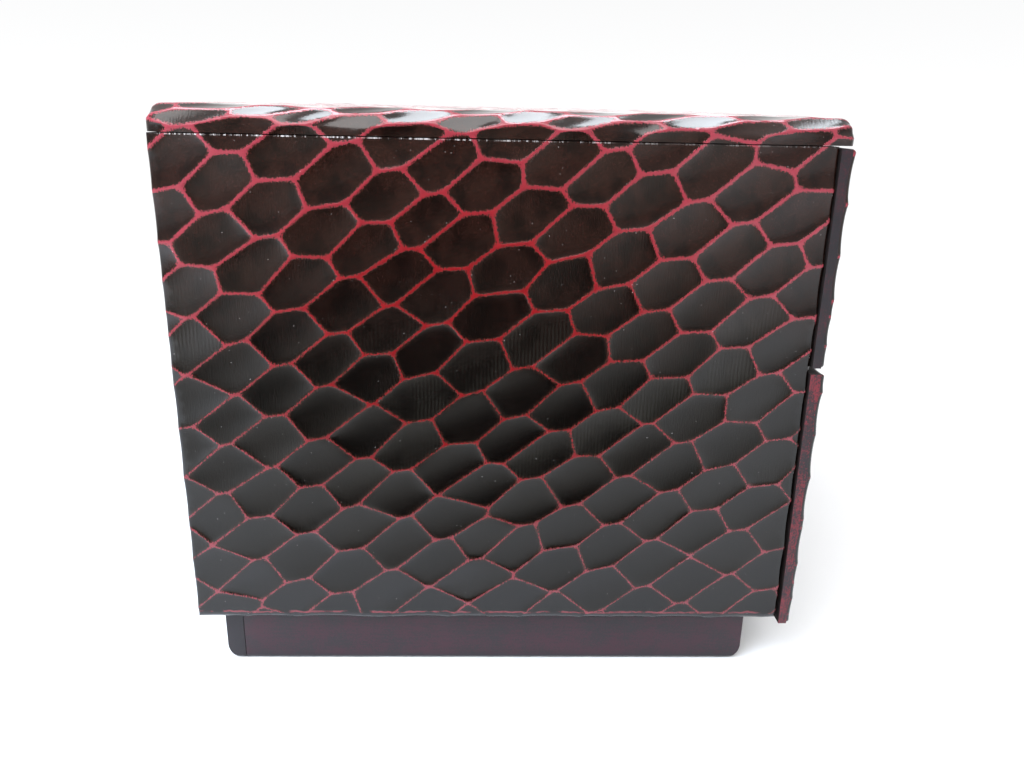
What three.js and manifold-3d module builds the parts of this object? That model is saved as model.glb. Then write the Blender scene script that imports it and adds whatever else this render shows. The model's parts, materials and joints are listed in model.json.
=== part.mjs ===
// A lacquered wooden tabletop chest with two drawers, carved all over its outside with tortoiseshell scoops.
// Millimetres, +Z up, the drawers open towards -Y, and the origin is on the floor under the middle of the whole.
import * as THREE from "three";
import { mergeVertices } from "three/addons/utils/BufferGeometryUtils.js";
import Module from "manifold-3d";

const wasm = await Module();
wasm.setup();

// Case
const caseWidth = 250;
const sideDepth = 200;
const sideHeight = 160;
const sideThickness = 8;
const topThickness = 8.5;
const topOverhang = 4.2;
const bottomThickness = 7;
const shelfThickness = 6;
const shelfMiddle = 91.7;
const backThickness = 6;
const rabbetDepth = 4;
const dadoDepth = 3;
const glueGap = 0.2;
const seamGap = 0.3;

// Plinth
const plinthHeight = 20;
const plinthInset = 6.5;
const plinthFrontInset = 9.3;
const plinthRearInset = 7.2;
const plinthEndRail = 6;
const plinthSideRail = 10;
const plinthRoundover = 5.5;
const plinthEase = 1.5;
const cornerBlockLeg = 16;
const cornerBlockDrop = 4;

// Drawer fronts
const frontThickness = 4.8;
const upperStandoff = 0.4;
const lowerStandoff = 0.9;
const frontSplit = 2;
const frontTopGap = 0.8;
const frontDrop = 0.8;

// Drawer boxes
const boxWall = 5;
const boxSideClearance = 0.6;
const boxTopClearance = 1.5;
const runningClearance = 0.3;
const boxFloorThickness = 3;
const boxFloorRaise = 3;
const grooveDepth = 2.5;
const fingers = 5;

// Ring pulls
const pullPlateRadius = 7.5;
const pullPlateThickness = 1.3;
const pullPlateRim = 0.5;
const pinWire = 0.5;
const pinLoopRadius = 2;
const pinSplit = 0.1;
const pinNeckRadius = 1;
const pinBendRadius = 1;
const pinHoleClearance = 0.2;
const pinLegLength = 7;
const ringRadius = 8.5;
const ringWire = 0.9;

// Edges
const arrisRadius = 6.5;
const topEdgeRadius = 4.2;
const cornerEdgeRadius = 2;
const panelEdgeRadius = 1;
const sideFootRadius = 2.5;
const frontEdgeRadius = 1.2;

// Carved scoops: u runs along a panel towards the front or the right, v runs down.
// The stretch over the arris makes the scoops narrower there.
const scoopDepth = 0.9;
const scoopRadius = 10;
const rowStep = new THREE.Vector2(13.3, 6.6);
const columnStep = new THREE.Vector2(-4.8, 16.7);
const columnBend = new THREE.Vector2(13, 3.6);
const columnBendRows = 28;
const patternStart = new THREE.Vector2(93.9, 69.5);
const scoopScatter = new THREE.Vector2(2.4, 2.2);
const scoopAngle = THREE.MathUtils.degToRad(25);
const scoopStretch = 1.7;
const uncutMargin = 3;
const arrisStretch = 2.8;
const wrapSeed = 6913;
const frontSeed = 2;

// Sizes that follow
const pinEyeOut = pullPlateThickness + pinLoopRadius + pinWire;
const pullReach = pinEyeOut + pinLoopRadius + pinWire;
const rearY = (sideDepth + lowerStandoff + frontThickness + pullReach) / 2;
const sideFrontY = rearY - sideDepth;
const topFrontY = sideFrontY - topOverhang;
const caseBase = plinthHeight;
const sideTopZ = caseBase + sideHeight;
const topUnder = sideTopZ + seamGap;
const topZ = topUnder + topThickness;
const halfWidth = caseWidth / 2;
const innerHalf = halfWidth - sideThickness;
const backFaceY = rearY - backThickness;
const bottomTop = caseBase + bottomThickness;
const shelfUnder = caseBase + shelfMiddle - shelfThickness / 2;
const shelfTop = shelfUnder + shelfThickness;
const boxRearY = backFaceY - runningClearance;
const pinHoleRadius = 2 * pinWire + pinSplit / 2 + pinHoleClearance;
const arcLength = (Math.PI / 2) * arrisRadius * arrisStretch;
const bandHeight = topThickness - arrisRadius;
const topGirth = 2 * (bandHeight + arcLength) + caseWidth - 2 * arrisRadius;

function finish(color, roughness, metalness = 0) {
  return new THREE.MeshStandardMaterial({ color, roughness, metalness, flatShading: true });
}

const materials = {
  carved: finish(0x2a1512, 0.3),
  plain: finish(0x3b1a18, 0.35),
  tray: finish(0x1c1110, 0.4),
  metal: finish(0x3a3026, 0.45, 0.9),
  timber: finish(0xb58a5a, 0.7),
};

// Solids

function solid(geometry) {
  const bare = geometry.clone();
  bare.deleteAttribute("normal");
  bare.deleteAttribute("uv");
  const merged = mergeVertices(bare, 1e-4);
  const corners = merged.index.array;
  const kept = [];
  for (let k = 0; k < corners.length; k += 3) {
    const [a, b, c] = corners.slice(k, k + 3);
    if (a !== b && b !== c && c !== a) kept.push(a, b, c);
  }
  const vertProperties = merged.attributes.position.array;
  return new wasm.Manifold(new wasm.Mesh({ numProp: 3, vertProperties, triVerts: Uint32Array.from(kept) }));
}

function block(low, high) {
  const size = high.map((value, axis) => value - low[axis]);
  const middle = high.map((value, axis) => (value + low[axis]) / 2);
  return solid(new THREE.BoxGeometry(...size).translate(...middle));
}

function rod(radius, length, sides = 12) {
  return new THREE.CylinderGeometry(radius, radius, length, sides);
}

function piece(name, material, body) {
  const { vertProperties, triVerts } = body.getMesh();
  const geometry = new THREE.BufferGeometry();
  geometry.setAttribute("position", new THREE.BufferAttribute(vertProperties, 3));
  geometry.setIndex(new THREE.BufferAttribute(triVerts, 1));
  geometry.computeVertexNormals();
  const mesh = new THREE.Mesh(geometry, material.clone());
  mesh.name = name;
  return mesh;
}

// A flat face with any number of points on its edges, some of them in line, cut into triangles
function flatFace(points, outward) {
  const across = new THREE.Vector3().subVectors(points[1], points[0]).normalize();
  const up = new THREE.Vector3().crossVectors(outward, across);
  const flat = points.map((point) => new THREE.Vector2(point.dot(across), point.dot(up)));
  const turn = (a, b, c) => (b.x - a.x) * (c.y - a.y) - (b.y - a.y) * (c.x - a.x);
  const order = THREE.ShapeUtils.isClockWise(flat) ? [...flat.keys()].reverse() : [...flat.keys()];
  const triangles = [];
  while (order.length > 2) {
    let best = -1;
    let bestHeight = 0;
    order.forEach((middle, k) => {
      const before = order.at(k - 1);
      const after = order[(k + 1) % order.length];
      const [a, b, c] = [flat[before], flat[middle], flat[after]];
      const height = turn(a, b, c) / Math.max(a.distanceTo(b), b.distanceTo(c), c.distanceTo(a));
      if (height <= bestHeight) return;
      const blocked = order.some((other) => {
        if (other === before || other === middle || other === after) return false;
        const p = flat[other];
        return turn(a, b, p) >= 0 && turn(b, c, p) >= 0 && turn(c, a, p) >= 0;
      });
      if (blocked) return;
      best = k;
      bestHeight = height;
    });
    if (best < 0) throw new Error("a flat face has no ear to cut");
    triangles.push(order.at(best - 1), order[best], order[(best + 1) % order.length]);
    order.splice(best, 1);
  }
  return triangles.map((k) => points[k]);
}

// The carved pattern

function scatter(i, j, seed) {
  const wild = Math.sin(i * 12.9898 + j * 78.233 + seed * 37.719) * 43758.5453;
  return 2 * (wild - Math.floor(wild)) - 1;
}

const scoopLong = new THREE.Vector2(Math.cos(scoopAngle), -Math.sin(scoopAngle));
const scoopShort = new THREE.Vector2(Math.sin(scoopAngle), Math.cos(scoopAngle));

// Distance as the gouge sees it: shorter along its stroke
function strokes(from, to) {
  const gap = to.clone().sub(from);
  return new THREE.Vector2(gap.dot(scoopLong) / scoopStretch, gap.dot(scoopShort));
}

function scoopCentres(region, seed) {
  const margin = 2 * scoopRadius * scoopStretch;
  const width = region.u1 - region.u0;
  const slope = (rowStep.y / rowStep.x) * (width + 2 * margin);
  const firstRow = Math.floor((region.v0 - patternStart.y - slope - margin) / columnStep.y);
  const lastRow = Math.ceil((region.v1 - patternStart.y + slope + margin) / columnStep.y);
  const centres = [];
  for (let j = firstRow; j <= lastRow; j++) {
    const bend = 1 - Math.cos((2 * Math.PI * j) / columnBendRows);
    const rowU = patternStart.x + columnStep.x * j + columnBend.x * bend;
    const rowV = patternStart.y + columnStep.y * j + columnBend.y * bend;
    const first = Math.floor((region.u0 - margin - rowU) / rowStep.x);
    const last = Math.ceil((region.u1 + margin - rowU) / rowStep.x);
    for (let i = first; i <= last; i++) {
      const stray = scatter(i, j, seed) + scatter(i + 1, j, seed);
      const u = rowU + rowStep.x * i + scoopScatter.x * stray;
      const v = rowV + rowStep.y * i + scoopScatter.y * scatter(j, i, seed + 5);
      if (v > region.v0 - margin && v < region.v1 + margin) centres.push(new THREE.Vector2(u, v));
    }
  }
  return centres;
}

// The part of a polygon on one side of a line
function clip(polygon, normal, offset) {
  const kept = [];
  polygon.forEach((point, k) => {
    const next = polygon[(k + 1) % polygon.length];
    const here = normal.dot(point) - offset;
    const there = normal.dot(next) - offset;
    if (here <= 0) kept.push(point);
    if (here * there < 0) kept.push(point.clone().lerp(next, here / (here - there)));
  });
  return kept;
}

// One polygon for each scoop: where it cuts deeper than its neighbours
function scoopCells(region, seed) {
  const centres = scoopCentres(region, seed);
  const corners = [
    [region.u0, region.v0],
    [region.u1, region.v0],
    [region.u1, region.v1],
    [region.u0, region.v1],
  ].map((corner) => new THREE.Vector2(...corner));
  const cells = centres.map((centre) => {
    let outline = corners;
    for (const other of centres) {
      if (other === centre || strokes(centre, other).length() > 4 * scoopRadius) continue;
      const gap = strokes(centre, other);
      const normal = scoopLong.clone().multiplyScalar(gap.x / scoopStretch);
      normal.addScaledVector(scoopShort, gap.y);
      outline = clip(outline, normal, normal.dot(centre.clone().add(other).multiplyScalar(0.5)));
      if (outline.length < 3) break;
    }
    return { centre, outline };
  });
  return { centres, cells: cells.filter((cell) => cell.outline.length > 2) };
}

function scoopDepthAt(point, centres, uncut) {
  const nearest = Math.min(...centres.map((centre) => strokes(centre, point).length()));
  const full = scoopDepth * Math.max(0, 1 - (nearest / scoopRadius) ** 2);
  if (!uncut) return full;
  return full * THREE.MathUtils.smoothstep(point.distanceTo(uncut.centre), uncut.radius, uncut.radius + uncutMargin);
}

function roundover(distances, radius) {
  const inside = Math.hypot(...distances.map((distance) => Math.max(0, radius - distance)));
  return radius - Math.sqrt(radius ** 2 - Math.min(inside, radius) ** 2);
}

function splitAlong(polygons, axis, value) {
  const normal = axis === "u" ? new THREE.Vector2(1, 0) : new THREE.Vector2(0, 1);
  const halves = polygons.flatMap((outline) => [
    clip(outline, normal, value),
    clip(outline, normal.clone().negate(), -value),
  ]);
  return halves.filter((outline) => outline.length > 2 && Math.abs(THREE.ShapeUtils.area(outline)) > 1e-6);
}

// A board whose outer face is carved: place(u, v, depth) puts the face in space, and close() lists the flat faces
function carvedBoard({ region, seed, creases, uncut, edgeDepth, place, close }) {
  const { centres, cells } = scoopCells(region, seed);
  const depthAt = (point) => scoopDepthAt(point, centres, uncut) + edgeDepth(point.x, point.y);
  const put = (point) => place(point.x, point.y, depthAt(point));
  const corners = [];
  const edges = { u0: new Map(), u1: new Map(), v0: new Map(), v1: new Map() };
  for (const cell of cells) {
    let outlines = [cell.outline];
    for (const [axis, values] of Object.entries(creases)) {
      for (const value of values) outlines = splitAlong(outlines, axis, value);
    }
    for (const outline of outlines) {
      const middle = outline.reduce((sum, point) => sum.add(point), new THREE.Vector2()).divideScalar(outline.length);
      const apex = put(middle);
      outline.forEach((point, k) => {
        corners.push(apex, put(point), put(outline[(k + 1) % outline.length]));
        for (const [edge, points] of Object.entries(edges)) {
          const axis = edge[0] === "u" ? "x" : "y";
          if (Math.abs(point[axis] - region[edge]) > 1e-6) continue;
          const along = axis === "x" ? point.y : point.x;
          points.set(along.toFixed(3), { along, at: put(point) });
        }
      });
    }
  }
  const outward = place(region.u0, region.v0, 0).sub(place(region.u0, region.v0, 1));
  const [a, b, c] = corners;
  const facing = new THREE.Vector3().crossVectors(b.clone().sub(a), c.clone().sub(a)).dot(outward);
  if (facing < 0) {
    for (let k = 0; k < corners.length; k += 3) [corners[k + 1], corners[k + 2]] = [corners[k + 2], corners[k + 1]];
  }
  const line = (edge) => [...edges[edge].values()].sort((p, q) => p.along - q.along).map((entry) => entry.at);
  for (const { points, outward: out } of close(line)) corners.push(...flatFace(points, out));
  return solid(new THREE.BufferGeometry().setFromPoints(corners));
}

// A flat carved panel's five plain faces: its four edges and its back
function panelFaces(line, region, backPoint, axes) {
  const [along, down, inward] = axes;
  const back = (u, v) => backPoint(region[u], region[v]);
  return [
    { points: [...line("u0"), back("u0", "v1"), back("u0", "v0")], outward: along.clone().negate() },
    { points: [...line("u1"), back("u1", "v1"), back("u1", "v0")], outward: along },
    { points: [...line("v0"), back("u1", "v0"), back("u0", "v0")], outward: down.clone().negate() },
    { points: [...line("v1"), back("u1", "v1"), back("u0", "v1")], outward: down },
    { points: [back("u0", "v0"), back("u1", "v0"), back("u1", "v1"), back("u0", "v1")], outward: inward },
  ];
}

const roundingLines = (edge, radius, sign) => [edge + sign * radius * (1 - Math.SQRT1_2), edge + sign * radius];

// The pattern wraps over the case: v falls from the seam down the left side, and rises over the top to the right
const leftRegion = { u0: 0, u1: sideDepth, v0: 0, v1: sideHeight };
const rightRegion = { u0: 0, u1: sideDepth, v0: -topGirth - sideHeight, v1: -topGirth };
const topRegion = { u0: 0, u1: sideDepth + topOverhang, v0: -topGirth, v1: 0 };

function wrapPoint(u, v, depth, lowest) {
  const y = rearY - u;
  const girth = -v;
  const mirrored = girth > topGirth / 2;
  const climb = mirrored ? topGirth - girth : girth;
  const side = mirrored ? 1 : -1;
  if (climb < bandHeight) return new THREE.Vector3(side * (halfWidth - depth), y, lowest + climb);
  const angle = (Math.PI / 2) * Math.min((climb - bandHeight) / arcLength, 1);
  const reach = arrisRadius - depth;
  const across = halfWidth - arrisRadius - Math.max(0, climb - bandHeight - arcLength);
  const up = topZ - arrisRadius + reach * Math.sin(angle);
  return new THREE.Vector3(side * (across + reach * Math.cos(angle)), y, up);
}

function sideEdgeDepth(u, aboveFoot) {
  const upright = roundover([Math.min(u, sideDepth - u)], panelEdgeRadius);
  return Math.max(upright, roundover([aboveFoot], sideFootRadius));
}

function leftSide() {
  const region = leftRegion;
  return carvedBoard({
    region,
    seed: wrapSeed,
    creases: {
      u: [...roundingLines(region.u0, panelEdgeRadius, 1), ...roundingLines(region.u1, panelEdgeRadius, -1)],
      v: roundingLines(region.v1, sideFootRadius, -1),
    },
    edgeDepth: (u, v) => sideEdgeDepth(u, region.v1 - v),
    place: (u, v, depth) => wrapPoint(u, v, depth, sideTopZ),
    close: (line) =>
      panelFaces(line, region, (u, v) => new THREE.Vector3(-innerHalf, rearY - u, sideTopZ - v), [
        new THREE.Vector3(0, -1, 0),
        new THREE.Vector3(0, 0, -1),
        new THREE.Vector3(1, 0, 0),
      ]),
  });
}

function rightSide() {
  const region = rightRegion;
  return carvedBoard({
    region,
    seed: wrapSeed,
    creases: {
      u: [...roundingLines(region.u0, panelEdgeRadius, 1), ...roundingLines(region.u1, panelEdgeRadius, -1)],
      v: roundingLines(region.v0, sideFootRadius, 1),
    },
    edgeDepth: (u, v) => sideEdgeDepth(u, v - region.v0),
    place: (u, v, depth) => wrapPoint(u, v, depth, sideTopZ),
    close: (line) =>
      panelFaces(line, region, (u, v) => new THREE.Vector3(innerHalf, rearY - u, sideTopZ + v + topGirth), [
        new THREE.Vector3(0, -1, 0),
        new THREE.Vector3(0, 0, 1),
        new THREE.Vector3(-1, 0, 0),
      ]),
  });
}

// How far over the arris a point of the top board lies: 0 on its edge band, 1 on its flat top
function overArris(v) {
  const climb = Math.min(-v, topGirth + v);
  return Math.sin((Math.PI / 2) * THREE.MathUtils.clamp((climb - bandHeight) / arcLength, 0, 1));
}

function topBoard() {
  const region = topRegion;
  const arc = [bandHeight, bandHeight + arcLength / 2, bandHeight + arcLength];
  return carvedBoard({
    region,
    seed: wrapSeed,
    creases: {
      u: [...roundingLines(region.u0, topEdgeRadius, 1), ...roundingLines(region.u1, topEdgeRadius, -1)],
      v: arc.flatMap((climb) => [-climb, climb - topGirth]),
    },
    edgeDepth: (u, v) => {
      const radius = THREE.MathUtils.lerp(cornerEdgeRadius, topEdgeRadius, overArris(v));
      return Math.min(roundover([Math.min(u - region.u0, region.u1 - u)], radius), arrisRadius - scoopDepth);
    },
    place: (u, v, depth) => wrapPoint(u, v, depth, topUnder),
    close: (line) => [
      { points: line("u0"), outward: new THREE.Vector3(0, 1, 0) },
      { points: line("u1"), outward: new THREE.Vector3(0, -1, 0) },
      { points: [...line("v1"), ...line("v0").reverse()], outward: new THREE.Vector3(0, 0, -1) },
    ],
  });
}

// Case

// The rabbets and the dado that the back, the bottom and the shelf are let into
function housings(side) {
  const slot = (depth, yLow, yHigh, zLow, zHigh) => {
    const floor = innerHalf + depth;
    const slab = block([innerHalf - 1, yLow, zLow], [floor, yHigh, zHigh]);
    return side > 0 ? slab : slab.mirror([1, 0, 0]);
  };
  const through = [sideFrontY - 1, rearY + 1];
  return slot(rabbetDepth, backFaceY, rearY + 1, caseBase - 1, sideTopZ + 1)
    .add(slot(rabbetDepth, ...through, caseBase - 1, bottomTop + glueGap))
    .add(slot(dadoDepth, ...through, shelfUnder - glueGap, shelfTop + glueGap));
}

function plinthEnvelope() {
  const bottomRounded = (half, length, r) => {
    const outline = new THREE.Shape();
    outline.moveTo(-half, plinthHeight);
    outline.lineTo(-half, r);
    outline.absarc(-half + r, r, r, Math.PI, 1.5 * Math.PI, false);
    outline.lineTo(half - r, 0);
    outline.absarc(half - r, r, r, 1.5 * Math.PI, 2 * Math.PI, false);
    outline.lineTo(half, plinthHeight);
    const bar = new THREE.ExtrudeGeometry(outline, { depth: length, bevelEnabled: false, curveSegments: 5 });
    return bar.translate(0, 0, -length / 2).rotateX(Math.PI / 2);
  };
  const depth = sideDepth - plinthRearInset - plinthFrontInset;
  const width = caseWidth - 2 * plinthInset;
  const middleY = (rearY - plinthRearInset + sideFrontY + plinthFrontInset) / 2;
  const acrossX = solid(bottomRounded(width / 2, depth, plinthEase).translate(0, middleY, 0));
  const alongY = bottomRounded(depth / 2, width, plinthRoundover).rotateZ(Math.PI / 2);
  return acrossX.intersect(solid(alongY.translate(0, middleY, 0)));
}

function plinthPieces() {
  const envelope = plinthEnvelope();
  const x = halfWidth - plinthInset;
  const front = sideFrontY + plinthFrontInset;
  const rear = rearY - plinthRearInset;
  const railFront = front + plinthEndRail;
  const railRear = rear - plinthEndRail;
  const inner = x - plinthSideRail;
  const rail = (name, low, high) =>
    piece(name, materials.plain, block([...low, -1], [...high, plinthHeight]).intersect(envelope));
  const legs = [
    [0, 0],
    [cornerBlockLeg, 0],
    [0, cornerBlockLeg],
  ];
  const triangle = new THREE.Shape(legs.map((leg) => new THREE.Vector2(...leg)));
  const height = plinthHeight - cornerBlockDrop;
  const cornerBlock = (name, quarter) => {
    const shape = new THREE.ExtrudeGeometry(triangle, { depth: height, bevelEnabled: false });
    const right = quarter === 1 || quarter === 2;
    const atX = (right ? 1 : -1) * (inner - glueGap);
    const atY = quarter > 1 ? railRear - glueGap : railFront + glueGap;
    shape.rotateZ((quarter * Math.PI) / 2);
    return piece(name, materials.timber, solid(shape.translate(atX, atY, cornerBlockDrop)));
  };
  return [
    rail("plinth_front_rail", [glueGap - inner, front], [inner - glueGap, railFront]),
    rail("plinth_back_rail", [-x, railRear], [x, rear]),
    rail("plinth_left_rail", [-x, front], [-inner, railRear - glueGap]),
    rail("plinth_right_rail", [inner, front], [x, railRear - glueGap]),
    cornerBlock("plinth_block_front_left", 0),
    cornerBlock("plinth_block_front_right", 1),
    cornerBlock("plinth_block_back_right", 2),
    cornerBlock("plinth_block_back_left", 3),
  ];
}

function casePieces() {
  const shelfHalf = innerHalf + dadoDepth - glueGap;
  const letIn = innerHalf + rabbetDepth - glueGap;
  const innerRear = backFaceY - glueGap;
  const board = (name, low, high) => piece(name, materials.plain, block(low, high));
  return [
    piece("top_board", materials.carved, topBoard()),
    piece("left_side", materials.carved, leftSide().subtract(housings(-1))),
    piece("right_side", materials.carved, rightSide().subtract(housings(1))),
    board("back_panel", [-letIn, backFaceY + glueGap, caseBase + glueGap], [letIn, rearY, sideTopZ]),
    board("bottom_board", [-letIn, sideFrontY, caseBase + glueGap], [letIn, innerRear, bottomTop]),
    board("divider_shelf", [-shelfHalf, sideFrontY, shelfUnder], [shelfHalf, innerRear, shelfTop]),
    ...plinthPieces(),
  ];
}

// Drawers

function drawerFront(name, low, high, backY) {
  const region = { u0: 0, u1: caseWidth, v0: sideTopZ - high, v1: sideTopZ - low };
  const r = frontEdgeRadius;
  const middle = (low + high) / 2;
  const body = carvedBoard({
    region,
    seed: frontSeed,
    creases: {
      u: [...roundingLines(region.u0, r, 1), ...roundingLines(region.u1, r, -1)],
      v: [...roundingLines(region.v0, r, 1), ...roundingLines(region.v1, r, -1)],
    },
    uncut: { centre: new THREE.Vector2(halfWidth, sideTopZ - middle), radius: pullPlateRadius + 1 },
    edgeDepth: (u, v) =>
      roundover([Math.min(u - region.u0, region.u1 - u), Math.min(v - region.v0, region.v1 - v)], r),
    place: (u, v, depth) => new THREE.Vector3(u - halfWidth, backY - frontThickness + depth, sideTopZ - v),
    close: (line) =>
      panelFaces(line, region, (u, v) => new THREE.Vector3(u - halfWidth, backY, sideTopZ - v), [
        new THREE.Vector3(1, 0, 0),
        new THREE.Vector3(0, 0, -1),
        new THREE.Vector3(0, 1, 0),
      ]),
  });
  return piece(name, materials.carved, body.subtract(pinHole(middle)));
}

function pinHole(z) {
  return solid(rod(pinHoleRadius, 4 * frontThickness + 4 * boxWall).translate(0, sideFrontY, z));
}

// A box with comb joints at its corners and a floor held in a groove all round
function drawerBox(prefix, bay, backY, pullZ) {
  const low = bay.low + runningClearance;
  const high = bay.high - boxTopClearance;
  const half = innerHalf - boxSideClearance;
  const finger = (high - low) / fingers;
  const floorLow = low + boxFloorRaise;
  const floorHigh = floorLow + boxFloorThickness;
  const front = backY + glueGap;
  const rear = backFaceY - runningClearance;
  const inner = { x: half - boxWall, front: front + boxWall, rear: rear - boxWall };
  // What the fingers of one wall leave open for the fingers of the next
  const notches = (kept, corners) => {
    const cuts = [];
    for (let k = 0; k < fingers; k++) {
      if (k % 2 === kept) continue;
      const zLow = k === 0 ? low - 1 : low + finger * k - glueGap / 2;
      const zHigh = k === fingers - 1 ? high + 1 : low + finger * (k + 1) + glueGap / 2;
      cuts.push(...corners.map(([from, to]) => block([...from, zLow], [...to, zHigh])));
    }
    return cuts;
  };
  const sideEnds = [
    [[-half - 1, front - 1], [half + 1, inner.front + glueGap]],
    [[-half - 1, inner.rear - glueGap], [half + 1, rear + 1]],
  ];
  const crossEnds = [
    [[-half - 1, front - 1], [-inner.x + glueGap, rear + 1]],
    [[inner.x - glueGap, front - 1], [half + 1, rear + 1]],
  ];
  const groove = block(
    [-inner.x - grooveDepth, inner.front - grooveDepth, floorLow - glueGap],
    [inner.x + grooveDepth, inner.rear + grooveDepth, floorHigh + glueGap],
  );
  const wall = (name, from, to, cuts) => {
    const whole = block([...from, low], [...to, high]);
    const cut = [...cuts, groove].reduce((rest, tool) => rest.subtract(tool), whole);
    return piece(prefix + name, materials.tray, cut);
  };
  const reach = grooveDepth - glueGap;
  const floor = block(
    [-inner.x - reach, inner.front - reach, floorLow],
    [inner.x + reach, inner.rear + reach, floorHigh],
  );
  return [
    wall("_box_left", [-half, front], [-inner.x, rear], notches(0, sideEnds)),
    wall("_box_right", [inner.x, front], [half, rear], notches(0, sideEnds)),
    wall("_box_front", [-half, front], [half, inner.front], [...notches(1, crossEnds), pinHole(pullZ)]),
    wall("_box_back", [-half, inner.rear], [half, rear], notches(1, crossEnds)),
    piece(prefix + "_box_floor", materials.tray, floor),
  ];
}

// Ring pulls: a domed plate, a split pin whose legs clinch inside, and a ring that swings in its eye

function pullPlate() {
  const hole = pinHoleRadius;
  const profile = [
    new THREE.Vector2(hole, 0),
    new THREE.Vector2(pullPlateRadius, 0),
    new THREE.Vector2(pullPlateRadius, pullPlateRim),
    new THREE.Vector2(pullPlateRadius * 0.86, pullPlateRim * 1.2),
    new THREE.Vector2(pullPlateRadius * 0.62, pullPlateThickness * 0.86),
    new THREE.Vector2(pullPlateRadius * 0.35, pullPlateThickness),
    new THREE.Vector2(hole, pullPlateThickness),
    new THREE.Vector2(hole, 0),
  ];
  return new THREE.LatheGeometry(profile, 24);
}

function splitPin() {
  const inside = frontThickness + boxWall + pinWire + 2 * glueGap;
  const apart = pinWire + pinSplit / 2;
  const neck = apart + pinNeckRadius;
  const toNeck = Math.sqrt((pinLoopRadius + pinNeckRadius) ** 2 - neck ** 2);
  const neckOut = -pinEyeOut + toNeck;
  const meet = Math.atan2(neck, toNeck);
  const bendOut = inside - pinBendRadius;
  const bendUp = apart + pinBendRadius;
  const outline = new THREE.Path();
  outline.moveTo(inside, apart + pinLegLength);
  outline.lineTo(inside, bendUp);
  outline.absarc(bendOut, bendUp, pinBendRadius, 0, -Math.PI / 2, true);
  outline.lineTo(neckOut, apart);
  outline.absarc(neckOut, neck, pinNeckRadius, -Math.PI / 2, meet - Math.PI, true);
  outline.absarc(-pinEyeOut, 0, pinLoopRadius, meet, 2 * Math.PI - meet, false);
  outline.absarc(neckOut, -neck, pinNeckRadius, Math.PI - meet, Math.PI / 2, true);
  outline.lineTo(bendOut, -apart);
  outline.absarc(bendOut, -bendUp, pinBendRadius, Math.PI / 2, 0, true);
  outline.lineTo(inside, -apart - pinLegLength);
  const points = outline.getSpacedPoints(200).map(({ x: out, y: up }) => new THREE.Vector3(0, out, up));
  const wire = new THREE.Shape().absarc(0, 0, pinWire, 0, 2 * Math.PI);
  const path = new THREE.CatmullRomCurve3(points);
  return new THREE.ExtrudeGeometry(wire, { steps: 80, curveSegments: 4, extrudePath: path });
}

function pullRing() {
  return new THREE.TorusGeometry(ringRadius, ringWire, 8, 30).rotateX(Math.PI / 2).translate(0, 0, -ringRadius);
}

function ringPull(prefix, faceY, z) {
  const group = new THREE.Group();
  group.position.set(0, faceY, z);
  const ring = piece(prefix + "_pull_ring", materials.metal, solid(pullRing()));
  ring.position.y = -pinEyeOut;
  group.add(
    piece(prefix + "_pull_plate", materials.metal, solid(pullPlate().rotateX(Math.PI))),
    piece(prefix + "_pull_pin", materials.metal, solid(splitPin())),
    ring,
  );
  return group;
}

function drawer(prefix, bay, front) {
  const pullZ = (front.low + front.high) / 2;
  const backY = sideFrontY - front.standoff;
  const group = new THREE.Group();
  group.add(drawerFront(prefix + "_front", front.low, front.high, backY));
  group.add(...drawerBox(prefix, bay, backY, pullZ));
  group.add(ringPull(prefix, backY - frontThickness, pullZ));
  return group;
}

const splitZ = caseBase + shelfMiddle;
const upperFront = { low: splitZ + frontSplit / 2, high: topUnder - frontTopGap, standoff: upperStandoff };
const lowerFront = { low: caseBase - frontDrop, high: splitZ - frontSplit / 2, standoff: lowerStandoff };
const chest = new THREE.Group();
chest.add(...casePieces());
chest.add(drawer("upper", { low: shelfTop, high: topUnder }, upperFront));
chest.add(drawer("lower", { low: bottomTop, high: shelfUnder }, lowerFront));

export default chest;
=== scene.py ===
"""Dresses a small lacquered chest: tortoiseshell carving, rubbed red ridges, drawers, ring pulls and a pale stage."""

import functools
import json
import math

import bmesh
import bpy
import numpy as np
from bpy.props import FloatProperty, FloatVectorProperty, IntProperty, PointerProperty
from mathutils import Matrix, Vector
from mathutils.geometry import delaunay_2d_cdt


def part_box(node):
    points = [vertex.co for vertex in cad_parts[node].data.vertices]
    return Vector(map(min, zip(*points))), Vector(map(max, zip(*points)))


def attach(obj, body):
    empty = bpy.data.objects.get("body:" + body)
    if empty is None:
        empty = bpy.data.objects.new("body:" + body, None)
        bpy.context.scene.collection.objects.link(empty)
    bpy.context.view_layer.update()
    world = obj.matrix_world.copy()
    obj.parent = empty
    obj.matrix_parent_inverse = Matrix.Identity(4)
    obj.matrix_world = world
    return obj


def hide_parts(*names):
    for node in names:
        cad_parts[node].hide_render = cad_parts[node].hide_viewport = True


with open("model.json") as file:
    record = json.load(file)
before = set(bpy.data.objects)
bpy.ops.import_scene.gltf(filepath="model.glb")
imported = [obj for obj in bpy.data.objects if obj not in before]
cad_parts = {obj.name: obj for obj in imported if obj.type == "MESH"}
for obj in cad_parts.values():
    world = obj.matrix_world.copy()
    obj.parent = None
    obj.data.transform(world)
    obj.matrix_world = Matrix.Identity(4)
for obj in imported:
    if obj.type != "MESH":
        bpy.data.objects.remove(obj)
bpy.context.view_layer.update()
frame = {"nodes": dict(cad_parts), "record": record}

bl_info = {
    "name": "Tortoiseshell Lacquer Chest",
    "version": (1, 0, 0),
    "blender": (4, 5, 0),
    "location": "3D View > Sidebar > Chest",
    "description": "Carved and lacquered surfaces for a tabletop chest, with its stage",
    "category": "Object",
}

MM = 0.001
WELD = 0.002 * MM
TOP_THICKNESS = 8.5

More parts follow.
